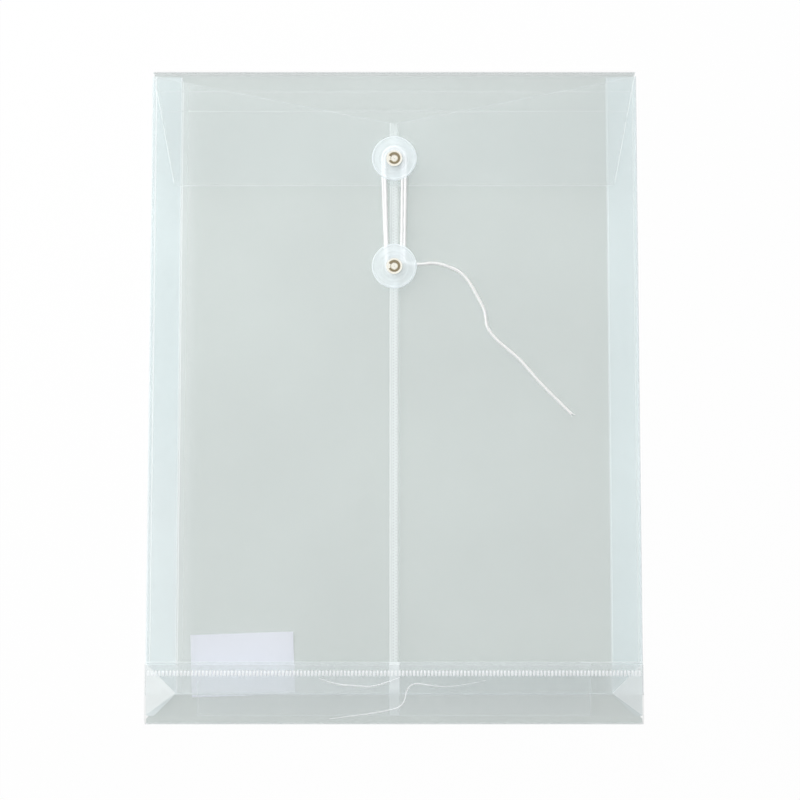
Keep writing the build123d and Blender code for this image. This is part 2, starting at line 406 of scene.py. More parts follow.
back_film = sheet_of_film(
    "back_film", back_low.x, back_high.x, back_low.y, back_high.y - spine_hem,
    film / 2, film_columns, back_rows,
)
pick_edge(1, back_low.y)
fold(-180, (0, back_low.y, film / 2 + bottom_fold_radius), (1, 0, 0), 16)
pull(0, outer_high.y - edge_strip - back_low.y, 0, 8)
pull(0, edge_strip, 0)
for offset in (-weld_band / 2 - tiny, -weld_band / 2):
    pick("FACE", lambda middle: middle.z > film)
    score((0, weld_y + offset, 0), (0, 1, 0))
pick("VERT", lambda co: co.z > film)
bpy.ops.transform.resize(value=(outer_high.x / back_high.x, 1, 1), center_override=(0, 0, 0))
bpy.ops.object.mode_set(mode="OBJECT")


def outer_leaf_slack(co):
    """The leaf over the block ripples between its fold and its weld."""
    past_fold = (co.y - back_low.y) / leaf_slack_reach
    before_weld = (outer_high.y - leaf_held - co.y) / leaf_slack_reach
    return least_share(past_fold, before_weld) if co.z > bottom_fold_radius else 0


def leaf_bright(co):
    """Bright along the leaf's cut edge and weld, and paler towards the left and over the right
    gusset.
    """
    if co.z < film:
        return 0.0
    if co.y > outer_high.y - tiny:
        return leaf_edge_white
    if co.y < back_low.y - 0.9 * bottom_fold_radius:
        return leaf_fold_white
    if co.y > weld_y - weld_band / 2 - tiny / 2:
        return weld_band_white
    if co.y <= block_crease:
        return 0.0
    left_share = least_share((leaf_paler_end - co.x) / leaf_paler_fade)
    return leaf_paler_white * (1 if co.x > right_paler_start else left_share)


ripple(back_film, leaf_ripple, 0.5, leaf_ripple_size, outer_leaf_slack)
give_thickness(back_film, leaf_bright)
# The back film carries the film's tint, darkened grey-green as painted shade for the dimness under
# the envelope.
back_shaded_finish = film_finish("film_back_shaded", (0.56, 0.62, 0.60), 0.75)
# The leaf over the block is the same film, tinted darker still as painted shade for the dim band
# along the bottom.
leaf_shaded_finish = film_finish("film_leaf_shaded", (0.50, 0.535, 0.535), 0.26, line_opacity=0.27)
put_on(back_film, back_shaded_finish, "film", "back", "back_panel", "bottom_outer_flap")
add_finish(back_film, leaf_shaded_finish, lambda middle: middle.z > bottom_fold_radius)


# Side gussets, film folded inwards between back and front so that the envelope can swell.
# Each has a soft fold at its outer edges and a sharp crease inside, slanted off at the block.
gusset_low, gusset_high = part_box("right_gusset")
gusset_depth = 15 * mm
gusset_rows = 60
edge_radius = 0.7 * mm
crease_radius = 0.3 * mm
start_strip = 1 * mm
back_middle = film / 2
front_middle = front_low.z + film / 2
envelope_foot = cad_box[0][1]
gusset_fold_white = 0.6
# Painted light on the left gusset, strongest at its foot and fading up it, where the lamp's own
# light falls off.
painted_light_top = 10 * mm
painted_light_fade = 70 * mm
line_reach = 0.1 * mm
gusset_finish = film_finish("film_gusset", (0.835, 0.905, 0.925), 0.55, line_opacity=0.85)


def gusset(name, side, crease_white_and_highlight, foot_painted_light, node):
    """One gusset, folded from the back's edge to the front's, with any painted light that is asked
    for towards its foot.
    """
    leg = gusset_depth - edge_radius - crease_radius - film
    bends = edge_radius + crease_radius
    rise = (front_middle - back_middle) / 2 - edge_radius
    slope = math.asin(rise / math.hypot(leg, bends)) - math.atan2(bends, leg)
    turn = 180 - math.degrees(slope)
    run = leg * math.cos(slope)
    lift = leg * math.sin(slope)
    most = 1 - edge_strip / run
    fold_x = back_high.x
    edges = sorted((side * (fold_x - start_strip), side * fold_x))
    piece = sheet_of_film(name, *edges, gusset_low.y, gusset_high.y, back_middle, 1, gusset_rows)
    pick_edge(0, side * fold_x)
    fold(-side * turn, (side * fold_x, 0, back_middle + edge_radius), (0, 1, 0), 8)
    pull(-side * most * run, 0, most * lift, 4)
    pull(-side * (1 - most) * run, 0, (1 - most) * lift)
    inner_x = fold_x + edge_radius * math.sin(slope) - run + crease_radius * math.sin(slope)
    inner_z = back_middle + edge_radius * (1 + math.cos(slope)) + lift
    inner_z += crease_radius * math.cos(slope)
    fold(side * (2 * turn - 180), (side * inner_x, 0, inner_z), (0, 1, 0), 8)
    pull(side * (1 - most) * run, 0, (1 - most) * lift)
    pull(side * most * run, 0, most * lift, 4)
    fold(-side * turn, (side * fold_x, 0, front_middle - edge_radius), (0, 1, 0), 8)
    pick("FACE", lambda middle: abs(middle.x) < fold_x - tiny and middle.z < film)
    bpy.ops.mesh.delete(type="FACE")
    score_all((side * cad_box[1][0], envelope_foot, 0), (-side, -1, 0), drop=True)
    pick("FACE", lambda middle: middle.z > inner_z)
    score((0, block_crease, 0), (0, -1, 0), drop=True)
    bpy.ops.object.mode_set(mode="OBJECT")

    def bright(co):
        if abs(co.x) < inner_x + line_reach:
            return crease_white_and_highlight
        if abs(co.x) > fold_x + 0.5 * edge_radius:
            return gusset_fold_white
        return foot_painted_light * least_share((painted_light_top - co.y) / painted_light_fade)

    give_thickness(piece, bright)
    put_on(piece, gusset_finish, "film", None, node)
    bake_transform(piece)


# The left inner crease is painted far whiter than the right: crease whitening, with a painted
# highlight on the left.
gusset("gusset_left", -1, 1.0, 0.4, "left_gusset")
gusset("gusset_right", 1, 0.3, 0.0, "right_gusset")


# Blank sticker, plain white paper stuck inside the back at the lower left.
# It went on by hand, so it is a little askew and its corners don't lie quite flat.
label_low, label_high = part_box("blank_label")
label_width = 50 * mm
label_height = 30 * mm
label_turn = math.radians(2)
label_middle = (label_low + label_high) / 2
label_corner_lifts = ((1, 1, 0.5 * mm), (1, -1, 0.3 * mm), (-1, 1, 0.25 * mm))
label_lift_reach = 14 * mm


def lift_softly(rise, reach):
    """Lift what is selected, and what lies round it less and less."""
    bpy.ops.transform.translate(
        value=(0, 0, rise),
        use_proportional_edit=True,
        proportional_edit_falloff="SMOOTH",
        proportional_size=reach,
    )


bpy.ops.object.select_all(action="DESELECT")
bpy.ops.mesh.primitive_grid_add(x_subdivisions=20, y_subdivisions=12, size=1)
label = bpy.context.object
label.name = label.data.name = "label"
label.scale = (label_width, label_height, 1)
label.rotation_euler = (0, 0, label_turn)
label.location = label_middle
settle()
bpy.ops.object.mode_set(mode="EDIT")
for corner_x, corner_y, lift in label_corner_lifts:
    out = Vector((corner_x * label_width / 2, corner_y * label_height / 2, 0))
    out.rotate(Euler((0, 0, label_turn)))
    corner = label_middle + out
    pick("VERT", lambda co: (co - corner).length < 1 * mm)
    lift_softly(lift, label_lift_reach)
bpy.ops.object.mode_set(mode="OBJECT")
paper_wall = label.modifiers.new("wall", "SOLIDIFY")
paper_wall.thickness = label_high.z - label_low.z
paper_wall.offset = 0
bpy.ops.object.modifier_apply(modifier=paper_wall.name)
bpy.ops.object.shade_smooth_by_angle(angle=math.radians(40))
paper, tree, shader = new_finish("label_paper")
pulp = spread(tree, mottle(tree, 700, 4), 0, 1, 0.3, 0.7)
paper_tone = two_tones(tree, pulp, (0.86, 0.865, 0.96), (0.89, 0.895, 0.99))
tree.links.new(paper_tone, shader.inputs["Base Color"])
shader.inputs["Roughness"].default_value = 0.8
roughen(tree, shader, mottle(tree, 2500, 3), 0.15, 0.05 * mm)
put_on(label, paper, "label_paper", "back", "blank_label")


# Front wall, two films lapped down the middle under a shallow V mouth. The right film steps
# up over the left, and both are punched for the lower eyelet.
right_low, right_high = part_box("front_panel_right")
lower_eyelet_low, lower_eyelet_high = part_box("lower_eyelet")
lower_button = (lower_eyelet_low + lower_eyelet_high) / 2
front_columns = 40
front_rows = 60
front_ripple = 1.0 * mm
front_ripple_middle = 0.68
front_ripple_size = 45 * mm
seam_held = 7 * mm
block_held = 16 * mm
side_fade = 18 * mm
sag_fade = 25 * mm
mouth_notch = 24 * mm
mouth_middle = front_high.y - mouth_notch
mouth_side = back_high.x
mouth_white = 0.6
lap_step = 0.8 * mm
lap_rise = right_high.z - front_high.z
step_x = front_high.x + lap_step
lap_fade_start = 1.2 * mm
lap_white = 0.58
covered_edge_white = 0.2
mark_places = (back_high.x - gusset_depth + 2 * crease_radius, back_high.x - 1.3 * mm)
mark_half = 0.55 * mm
# The pressed marks are whitened lines; the left ones are painted whiter as a painted highlight.
left_mark_with_highlight = 1.0
right_mark = 0.5
crease_dip = 0.7 * mm
crease_dip_reach = 8 * mm
# Painted light beside the left gusset's crease, fading off over a few millimetres.
left_painted_light = 0.4
left_painted_light_reach = 9 * mm
hole_radius = 2.05 * mm
punch_length = 40 * mm
front_finish = film_finish("film_front", (0.715, 0.777, 0.763), 0.3)


def press_marks(side):
    """Divide the film along the marks that a gusset's folds press into it, and sink it there."""
    for x in mark_places:
        for offset in (-mark_half, 0, mark_half):
            score_all((side * x + offset, 0, 0), (1, 0, 0))
    inner_mark = side * mark_places[0]
    dip_start = block_crease + 2 * crease_dip_reach
    pick("VERT", lambda co: abs(co.x - inner_mark) < tiny and co.y > dip_start)
    lift_softly(-crease_dip, crease_dip_reach)


def trim_mouth(offset, drop):
    """Divide both halves of a panel along the V of the mouth, or just inside it."""
    for side in (-1, 1):
        pick("FACE", lambda middle: middle.x * side > 0)
        normal = Vector((-side * mouth_notch, mouth_side, 0)).normalized()
        score(Vector((0, mouth_middle, 0)) - offset * normal, normal, drop)


def punch(piece, y, radius):
    """Punch the hole for an eyelet."""
    bpy.ops.object.select_all(action="DESELECT")
    place = (0, y, 0)
    bpy.ops.mesh.primitive_cylinder_add(
        vertices=40, radius=radius, depth=punch_length, location=place
    )
    tool = bpy.context.object
    bpy.context.view_layer.objects.active = piece
    cut = piece.modifiers.new("hole", "BOOLEAN")
    cut.operation = "DIFFERENCE"
    cut.object = tool
    bpy.ops.object.modifier_apply(modifier=cut.name)
    bpy.data.objects.remove(tool)


def front_slack(co):
    """The front sags a little where it isn't held by gussets, seam or block."""
    off_seam = (abs(co.x) - seam_held) / sag_fade
    off_side = (mouth_side - abs(co.x)) / side_fade
    off_block = (co.y - block_crease - block_held) / sag_fade
    return least_share(off_seam, off_side, off_block)


def front_bright(co):
    """Bright along the cut edge of the mouth and the pressed marks, the left marks with a painted
    highlight.
    """
    edge = mouth_middle + mouth_notch * abs(co.x) / mouth_side
    if co.y > edge - line_reach:
        return mouth_white
    if min(abs(abs(co.x) - x) for x in mark_places) > tiny:
        return 0.0
    return left_mark_with_highlight if co.x < 0 else right_mark


def left_bright(co):
    """Bright also along the covered edge, and with painted light fading off beside the left
    gusset's crease.
    """
    if co.x > front_high.x - tiny:
        return covered_edge_white
    from_crease = co.x + mark_places[0]
    painted_glow = left_painted_light * (1 - from_crease / left_painted_light_reach) if 0 < from_crease < left_painted_light_reach else 0.0
    return max(front_bright(co), painted_glow)


def lap_bright(co):
    """Bright along the lap's edge and the mouth, and paler where the lap is welded."""
    if co.x < right_low.x + tiny:
        return 1.0
    fade = (front_high.x + tiny - co.x) / (front_high.x - lap_fade_start)
    return max(front_bright(co), lap_white * least_share(fade))


def finish_front(piece, side, bright, node):
    """Mark, trim, ripple and punch one of the two films, once its edges are drawn."""
    score_all((0, 0, 0), (1, 0, 0))
    press_marks(side)
    trim_mouth(0, True)
    trim_mouth(edge_strip, False)
    bpy.ops.object.mode_set(mode="OBJECT")
    ripple(piece, front_ripple, front_ripple_middle, front_ripple_size, front_slack)
    give_thickness(piece, bright)
    punch(piece, lower_button.y, hole_radius)
    put_on(piece, front_finish, "film", "front", node)


front_left = sheet_of_film(
    "front_left", front_low.x, front_high.x - edge_strip, front_low.y, front_high.y,
    front_middle, front_columns, front_rows,
)
pick_edge(0, front_high.x - edge_strip)
pull(edge_strip, 0, 0)
finish_front(front_left, -1, left_bright, "front_panel_left")

front_right = sheet_of_film(
    "front_right", step_x, right_high.x, right_low.y, right_high.y,
    front_middle, front_columns, front_rows,
)
pick_edge(0, step_x)
pull(-lap_step, 0, lap_rise)
pull(right_low.x + edge_strip - front_high.x, 0, 0, 6)
pull(-edge_strip, 0, 0)
finish_front(front_right, 1, lap_bright, "front_panel_right")


# Seam weld, two staggered rows of small pips where the lap was pressed between hot rollers.
# The rows stop either side of the lower button.
pip_radius = 0.45 * mm
pip_height = 0.1 * mm
pip_pitch = 1.5 * mm
pip_rows = (-0.35 * mm, 1.05 * mm)
seam_start = block_crease + block_held
button_clear = 6 * mm
seam_finish = film_finish("film_seam", (0.96, 0.98, 1.0), 0.5)


def repeat_weld(piece, step, count):
    """Repeat a shaped weld mark in an even row."""
    row = piece.modifiers.new("repeat", "ARRAY")
    row.use_relative_offset = False
    row.use_constant_offset = True
    row.constant_offset_displace = step
    row.count = count
    bpy.ops.object.modifier_apply(modifier=row.name)
    bpy.ops.object.shade_smooth_by_angle(angle=math.radians(60))


def raise_mark(height, slant):
    """Raise the flat outline of a weld mark into a low pad with slanted sides."""
    move = {"value": (0, 0, 0.6 * height)}
    bpy.ops.mesh.extrude_region_move(TRANSFORM_OT_translate=move)
    bpy.ops.mesh.inset(thickness=slant, depth=0.4 * height)
    bpy.ops.mesh.select_all(action="SELECT")
    bpy.ops.mesh.normals_make_consistent(inside=False)


def seam_row(name, near, far):
    """A length of the double row: one pip is shaped, copied beside itself and then repeated."""
    bpy.ops.object.select_all(action="DESELECT")
    start = (pip_rows[0], near, right_high.z)
    bpy.ops.mesh.primitive_circle_add(
        vertices=8, radius=pip_radius, fill_type="NGON", location=start
    )
    row = bpy.context.object
    row.name = row.data.name = name
    settle()
    bpy.ops.object.mode_set(mode="EDIT")
    raise_mark(pip_height, 0.35 * pip_radius)
    beside = {"value": (pip_rows[1] - pip_rows[0], pip_pitch / 2, 0)}
    bpy.ops.mesh.duplicate_move(TRANSFORM_OT_translate=beside)
    bpy.ops.object.mode_set(mode="OBJECT")
    repeat_weld(row, (0, pip_pitch, 0), int((far - near) / pip_pitch))
    put_on(row, seam_finish, "film", "front")


seam_row("seam_weld_lower", seam_start, lower_button.y - button_clear)
seam_row("seam_weld_upper", lower_button.y + button_clear, mouth_middle - pip_pitch)


# Block bottom, inside: the front film, lap and all, is folded back at its crease, then over
# itself into a narrower tongue, and each gusset makes a flat triangle in its corner.
inner_low, inner_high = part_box("bottom_inner_flap")
corner_low, corner_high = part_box("bottom_corner_right")
tongue_half = 94.5 * mm
tongue_end = -155.5 * mm
foot_start = block_crease - 0.175 * mm
foot_rows = 6
tongue_middle = inner_high.z - film / 2
foot_crease_radius = 0.56 * mm
tongue_radius = 0.185 * mm
foot_middle = tongue_middle - 2 * tongue_radius
tongue_fold = inner_high.y - film / 2 - tongue_radius
lap_lines = (right_low.x - edge_strip / 2, right_low.x, front_high.x, front_high.x + edge_strip / 2)
lap_white_above = 0.65
lap_white_below = 0.4
top_fold_white = 0.9
foot_crease_white = 0.5
tongue_edge_white = 0.45
corner_edge_white = 0.8
block_finish = film_finish("film_block", (0.76, 0.82, 0.83), 0.25, line_opacity=0.9)
# Painted light: the left corner's film is paler and denser than the right's, a lit and a shaded
# copy of one film under the lamp at the left.
lit_corner_finish = film_finish("film_corner_left_lit", (0.97, 1.0, 1.0), 0.92)
shaded_corner_finish = film_finish("film_corner_right_shaded", (0.93, 0.96, 0.965), 0.72)

block_inner = sheet_of_film(
    "block_inner", inner_low.x, inner_high.x, foot_start, tongue_fold,
    foot_middle, film_columns, foot_rows,
)
score_all((0, foot_start + edge_strip, 0), (0, 1, 0))
pick_edge(1, foot_start)
fold(180, (0, foot_start, foot_middle - foot_crease_radius), (1, 0, 0), 8)
pick_edge(1, tongue_fold)
fold(180, (0, tongue_fold, foot_middle + tongue_radius), (1, 0, 0), 6)
pull(0, tongue_end + edge_strip - tongue_fold, 0, 8)
pull(0, -edge_strip, 0)
for side in (-1, 1):
    for inset, drop in ((0, True), (edge_strip, False)):
        pick("FACE", lambda middle: middle.z > foot_middle + tongue_radius)
        score((side * (tongue_half - inset), 0, 0), (side, 0, 0), drop)
for x in lap_lines:
    score_all((x, 0, 0), (1, 0, 0))
bpy.ops.object.mode_set(mode="OBJECT")


def block_bright(co):
    """Bright along the lap that goes on inside and the folds, and less so round the tongue."""
    if right_low.x - tiny < co.x < front_high.x + tiny:
        return lap_white_above if co.y > block_crease else lap_white_below
    if co.y > tongue_fold + line_reach:
        return top_fold_white
    if co.y < foot_start + tiny and co.z < foot_middle + tiny:
        return foot_crease_white
    at_edge = abs(co.x) > tongue_half - tiny or co.y < tongue_end + tiny
    return tongue_edge_white if at_edge and co.z > foot_middle + tongue_radius else 0.0


give_thickness(block_inner, block_bright)
put_on(block_inner, block_finish, "film", "back", "bottom_inner_flap")


def block_corner(name, side, finish, node):
    """The triangle that a gusset makes when the bottom is folded flat."""
    edges = sorted((side * corner_low.x, side * corner_high.x))
    level = (corner_low.z + corner_high.z) / 2
    piece = sheet_of_film(name, *edges, corner_low.y, corner_high.y, level, 6, 10)
    apex = Vector((side * corner_low.x, block_crease, 0))
    for end in (corner_low.y, corner_high.y):
        along = Vector((side * corner_high.x, end, 0)) - apex
        across = Vector((-along.y, along.x, 0)).normalized()
        if across.x * side > 0:
            across = -across
        score_all(apex, across, drop=True)
        score_all(apex - edge_strip * across, across)
    bpy.ops.object.mode_set(mode="OBJECT")

    def bright(co):
        for end in (corner_low.y, corner_high.y):
            reach = (abs(co.x) - corner_low.x) / (corner_high.x - corner_low.x)
            if abs(co.y - block_crease - reach * (end - block_crease)) < line_reach:
                return corner_edge_white
        return 0.0

    give_thickness(piece, bright)
    put_on(piece, finish, "film", "back", node)


block_corner("block_corner_left", -1, lit_corner_finish, "bottom_corner_left")
block_corner("block_corner_right", 1, shaded_corner_finish, "bottom_corner_right")


# Block weld, a row of short bars pressed through the outer leaf near its edge.
# One bar is shaped and then repeated right across the envelope.
bar_width = 1.0 * mm
bar_length = 2.7 * mm
bar_height = 0.12 * mm
bar_pitch = 1.75 * mm
bar_count = 136
weld_finish = film_finish("film_weld", (0.97, 0.99, 1.0), 0.9)
bpy.ops.object.select_all(action="DESELECT")
bar_start = (-(bar_count - 1) * bar_pitch / 2, weld_y, outer_high.z)
bpy.ops.mesh.primitive_plane_add(size=1, location=bar_start)
block_weld = bpy.context.object
block_weld.name = block_weld.data.name = "block_weld"
block_weld.scale = (bar_width, bar_length, 1)
settle()
bpy.ops.object.mode_set(mode="EDIT")
bpy.ops.mesh.bevel(offset=0.3 * bar_width, segments=2, affect="VERTICES")
raise_mark(bar_height, 0.15 * bar_width)
bpy.ops.object.mode_set(mode="OBJECT")
repeat_weld(block_weld, (bar_pitch, 0, 0), bar_count)
put_on(block_weld, weld_finish, "film", "back")


# Wrinkles, two fine white ridges where the leaf was pinched as the bottom was folded.
# Each is a thin flattened ridge that dies out at its ends.
wrinkle_half = 0.3 * mm
wrinkle_rise = 0.35
wrinkle_routes = (
    [
        (-31, -157, 0.25),
        (-1, -153.5, 1),
        (4.9, -149.8, 1),
        (5.9, -143.5, 1),
        (8.8, -140.2, 1),
        (14.6, -140.6, 0.9),
        (22.5, -142, 0.6),
        (33, -141.2, 0.35),
        (44, -138.8, 0.2),
    ],
    [
        (-36, -137.8, 0.25),
        (-28.8, -140.6, 1),
        (-19, -141.3, 1),
        (-10.7, -142, 1),
        (-2, -139.2, 1),
        (2.9, -137.3, 0.25),
    ],
)


def round_curve(name, half_thickness, roundness):
    """A curve without splines yet, of this half thickness and with closed ends."""
    curve = bpy.data.curves.new(name, "CURVE")
    curve.dimensions = "3D"
    curve.bevel_depth = half_thickness
    curve.bevel_resolution = roundness
    curve.use_fill_caps = True
    return curve


def add_smooth(curve, points, widths, steps):
    """Add a smooth spline that some points steer, with a share of the thickness at each."""
    spline = curve.splines.new("NURBS")
    spline.points.add(len(points) - 1)
    for knot, point, width in zip(spline.points, points, widths):
        knot.co = (*point, 1)
        knot.radius = width
    spline.order_u = 3
    spline.use_endpoint_u = True
    spline.resolution_u = steps


def add_straight(curve, points, closed=False):
    """Add a spline that goes straight from point to point."""
    spline = curve.splines.new("POLY")
    spline.points.add(len(points) - 1)
    for knot, point in zip(spline.points, points):
        knot.co = (*point, 1)
    spline.use_cyclic_u = closed


def made_mesh(name, curve):
    """A curve made into a smooth mesh piece."""
    piece = bpy.data.objects.new(name, curve)
    scene.collection.objects.link(piece)
    bpy.ops.object.select_all(action="DESELECT")
    piece.select_set(True)
    bpy.context.view_layer.objects.active = piece
    bpy.ops.object.convert(target="MESH")
    piece.data.name = name
    bpy.ops.object.shade_smooth()
    return piece


for i, route in enumerate(wrinkle_routes):
    ridge = round_curve("wrinkle", wrinkle_half, 1)
    places = [(x * mm, y * mm, 0) for x, y, thick in route]
    add_smooth(ridge, places, [thick for x, y, thick in route], 8)
    wrinkle = made_mesh("wrinkle_%d" % (i + 1), ridge)
    wrinkle.scale.z = wrinkle_rise
    wrinkle.location.z = outer_high.z
    settle()
    put_on(wrinkle, weld_finish, "film", "back")


# Spine and closing flap, the back film carried up over the top edge and down the front. The
# flap tapers, has round lower corners and two spare score lines, and bends at living creases.
flap_low, flap_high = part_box("flap")
spine_low, spine_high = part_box("flap_spine")
upper_eyelet_low, upper_eyelet_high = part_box("upper_eyelet")
upper_button = (upper_eyelet_low + upper_eyelet_high) / 2
flap_middle = (flap_low.z + flap_high.z) / 2
flap_rows = 14
flap_ripple = 0.5 * mm
flap_ripple_middle = 0.35
flap_ripple_size = 45 * mm
spine_y = spine_high.y - film / 2
flap_taper = 11 * mm
flap_corner_radius = 3 * mm
flap_corner_cuts = 6
flap_end_half = flap_high.x - flap_taper
top_crease_radius = 0.5 * mm
crease_y = spine_y - top_crease_radius
spine_split = 3.6 * mm
score_lines = (spine_high.y - 10 * mm, spine_high.y - 20 * mm)
score_half = 0.5 * mm
score_dip = 0.12 * mm
score_white = 0.35
flap_end_white = 0.55
# The slanted side edges are painted whiter than the lower edge: a cut edge with a painted glint
# along it.
flap_side_glint_white = 0.9
button_held = 12 * mm
score_held = 2 * mm
flap_slack_fade = 12 * mm
flap_finish = film_finish("film_flap", (0.69, 0.745, 0.74), 0.3)
wall_finish = film_finish("film_wall", (0.52, 0.56, 0.555), 0.54)

flap = sheet_of_film(
    "flap_film", flap_low.x, flap_high.x, flap_low.y, crease_y,
    flap_middle, film_columns, flap_rows,
)
side_angle = math.atan2(flap_taper, spine_y - flap_low.y)
for side in (-1, 1):
    outward = Vector((side * math.cos(side_angle), -math.sin(side_angle), 0))
    lower_end = Vector((side * flap_end_half, flap_low.y, 0))
    for inset, drop in ((0, True), (edge_strip, False)):
        score_all(lower_end - inset * outward, outward, drop)
    reach = flap_corner_radius * math.tan((math.pi / 2 - side_angle) / 2)
    corner_middle = lower_end + Vector((-side * reach, flap_corner_radius, 0))
    for step in range(1, flap_corner_cuts):
        turn = -side_angle - step * (math.pi / 2 - side_angle) / flap_corner_cuts
        away = Vector((side * math.cos(turn), math.sin(turn), 0))
        score_all(corner_middle + flap_corner_radius * away, away, True)
score_all((0, flap_low.y + edge_strip, 0), (0, 1, 0))
for y in score_lines:
    for offset in (-score_half, 0, score_half):
        score_all((0, y + offset, 0), (0, 1, 0))
    pick("VERT", lambda co: abs(co.y - y) < tiny)
    bpy.ops.transform.translate(value=(0, 0, -score_dip))
pick_edge(1, crease_y)
fold(-90, (0, crease_y, flap_middle - top_crease_radius), (1, 0, 0), 6)
pull(0, 0, spine_split + tiny - flap_middle + top_crease_radius, 4)
bpy.ops.object.mode_set(mode="OBJECT")


def flap_slack(co):
    """The flap ripples between its scores and its free edge, but not round its button."""
    off_button = (math.hypot(co.x, co.y - upper_button.y) - button_held) / flap_slack_fade
    off_scores = (score_lines[1] - score_held - co.y) / flap_slack_fade
    return least_share(off_button, off_scores)


def flap_bright(co):
    """Bright along the score lines and the cut edge, the side edges with a painted glint."""
    if co.z < flap_low.z:
        return 0.0
    if min(abs(co.y - y) for y in score_lines) < line_reach:
        return score_white
    if co.y < flap_low.y + tiny:
        return flap_end_white
    edge_x = flap_end_half + (co.y - flap_low.y) * math.tan(side_angle)
    return flap_side_glint_white if abs(co.x) > edge_x - line_reach else 0.0


ripple(flap, flap_ripple, flap_ripple_middle, flap_ripple_size, flap_slack)
give_thickness(flap, flap_bright)
punch(flap, upper_button.y, hole_radius)
put_on(flap, flap_finish, "film", None, "flap")
add_finish(flap, wall_finish, lambda middle: middle.z < flap_low.z - top_crease_radius)
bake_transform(flap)

spine = sheet_of_film(
    "spine_film", spine_low.x, spine_high.x, back_high.y - spine_hem, crease_y,
    back_middle, film_columns, 1,
)
pick_edge(1, crease_y)
fold(90, (0, crease_y, back_middle + top_crease_radius), (1, 0, 0), 6)
pull(0, 0, spine_split - tiny - back_middle - top_crease_radius, 4)
bpy.ops.object.mode_set(mode="OBJECT")
give_thickness(spine, lambda co: 0.0)
put_on(spine, wall_finish, "film", None, "flap_spine")
add_finish(spine, back_shaded_finish, lambda middle: middle.z < film + tiny)
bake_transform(spine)


# Eyelets, drawn from thin pale brass: a funnel mouth rolled over into a flange above each
# washer, a straight barrel through the film, and an end clinched over behind it.
bore_radius = 1.75 * mm
barrel_radius = 2.0 * mm
flange_radius = 4.0 * mm
flange_top = upper_eyelet_high.z
flange_under = flange_top - 0.5 * mm
clinch_depth = 0.38 * mm
# Painted shade: the throat and its groove are painted dark brown, except in a sector that faces the
# lamp at the left.
throat_shade_inner = 1.9 * mm
throat_shade_outer = 2.9 * mm
lit_sector = 25
eyelet_steps = 48
merge_reach = 0.001 * mm


def lathe(name, profile, y, steps):
    """Turn a closed outline of (radius, height) pairs round a button's own axis."""
    bpy.ops.object.select_all(action="DESELECT")
    bpy.ops.mesh.primitive_plane_add(size=1 * mm)
    piece = bpy.context.object
    piece.name = piece.data.name = name
    bpy.ops.object.mode_set(mode="EDIT")
    bpy.ops.mesh.select_all(action="SELECT")
    bpy.ops.mesh.merge(type="CENTER")
    bpy.ops.mesh.select_mode(type="VERT")
    bpy.ops.mesh.select_all(action="SELECT")
    before = Vector((0, 0, 0))
    for i, (radius, height) in enumerate([*profile, profile[0]]):
        here = Vector((radius, y, height))
        if i == 0:
            bpy.ops.transform.translate(value=here - before)
        else:
            move = {"value": here - before}
            bpy.ops.mesh.extrude_region_move(TRANSFORM_OT_translate=move)
        before = here
    bpy.ops.mesh.select_all(action="SELECT")
    bpy.ops.mesh.remove_doubles(threshold=merge_reach)
    bpy.ops.mesh.spin(steps=steps, angle=2 * math.pi, center=(0, y, 0), axis=(0, 0, 1))
    bpy.ops.mesh.select_all(action="SELECT")
    bpy.ops.mesh.remove_doubles(threshold=merge_reach)
    bpy.ops.mesh.normals_make_consistent(inside=False)
    bpy.ops.object.mode_set(mode="OBJECT")
    bpy.ops.object.shade_smooth_by_angle(angle=math.radians(35))
    return piece


brass, tree, shader = new_finish("pale_brass")
tarnish = spread(tree, mottle(tree, 900, 4), 0, 1, 0.35, 0.7)
polish = two_tones(tree, tarnish, (0.95, 0.935, 0.86), (0.91, 0.885, 0.79))
# Painted shade: dark brown in the throat ring.
brass_and_painted_shade = two_tones(tree, marked_line(tree), polish, (0.30, 0.25, 0.16))
tree.links.new(brass_and_painted_shade, shader.inputs["Base Color"])
shader.inputs["Metallic"].default_value = 1.0
tree.links.new(spread(tree, mottle(tree, 2200), 0.16, 0.34), shader.inputs["Roughness"])


def eyelet(name, y, film_under, body, node):
    """One eyelet, from its clinched end to its flange."""
    low = film_under - clinch_depth
    outline = [
        (bore_radius, low + 0.25 * mm),
        (bore_radius, flange_under - 1.1 * mm),
        (0.12 * mm, flange_under - 1.0 * mm),
        (0.2 * mm, flange_under - 0.85 * mm),
        (1.2 * mm, flange_under - 0.7 * mm),
        (1.65 * mm, flange_under - 0.35 * mm),
        (1.95 * mm, flange_under + 0.1 * mm),
        (2.35 * mm, flange_top - 0.1 * mm),
        (2.6 * mm, flange_top - 0.15 * mm),
        (2.85 * mm, flange_top - 0.04 * mm),
        (3.15 * mm, flange_top),
        (3.5 * mm, flange_top - 0.05 * mm),
        (3.85 * mm, flange_top - 0.18 * mm),
        (flange_radius, flange_top - 0.36 * mm),
        (3.9 * mm, flange_under),
        (2.3 * mm, flange_under),
        (barrel_radius, flange_under - 0.25 * mm),
        (barrel_radius, film_under),
        (3.0 * mm, film_under),
        (3.2 * mm, film_under - 0.12 * mm),
        (3.05 * mm, film_under - 0.3 * mm),
        (2.5 * mm, low),
        (1.6 * mm, low + 0.02 * mm),
    ]
    piece = lathe(name, outline, y, eyelet_steps)

    # Painted shade in the throat ring, left off in the sector facing the lamp.
    def throat_shade(co):
        radius = math.hypot(co.x, co.y - y)
        inside = throat_shade_inner < radius < throat_shade_outer and co.z > flange_under + tiny
        from_left = math.degrees(math.atan2(abs(co.y - y), -co.x))
        return 1.0 if inside and from_left > lit_sector else 0.0

    mark_lines(piece, throat_shade)
    put_on(piece, brass, "eyelet_brass", body, node)


